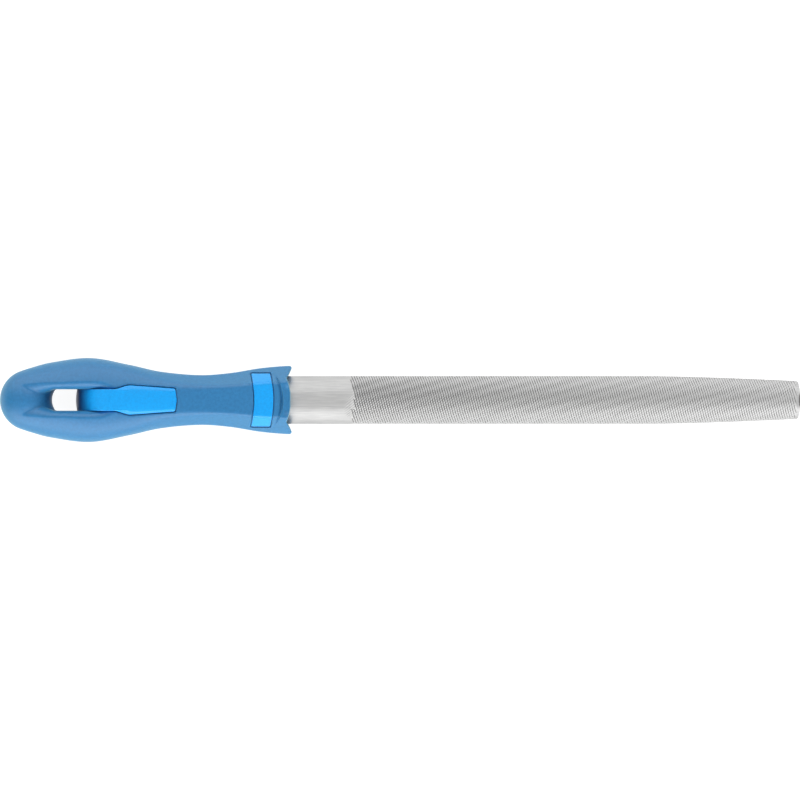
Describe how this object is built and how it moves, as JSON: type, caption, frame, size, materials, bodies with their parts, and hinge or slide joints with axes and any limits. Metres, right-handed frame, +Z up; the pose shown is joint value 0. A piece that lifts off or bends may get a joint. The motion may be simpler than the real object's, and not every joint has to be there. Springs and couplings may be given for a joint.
{
  "type": "half-round file",
  "caption": "Half-round hand file for metal: tapered double-cut steel blade with a smooth heel, pressed by its tang into a two-part plastic handle with a finger guard and a hanging hole.",
  "frame": {"origin": "on the bench under the middle of the file's length: centre of the bounding box in X and Y, and its lowest Z, where the bulb of the handle touches", "axes": "+X from the handle to the tip of the blade, +Y across the blade, +Z up, the way the curved back of the blade looks"},
  "size_m": [0.3139, 0.033, 0.0249],
  "materials": {
    "blade_steel": "ground tool steel with cut teeth",
    "core_plastic": "moulded, satin gloss, bright blue",
    "grip_plastic": "moulded over the core, matte, blue"
  },
  "bodies": {
    "root": {"file_blade": "blade_steel", "handle_core": "core_plastic", "handle_grip": "grip_plastic"}
  },
  "joints": []
}
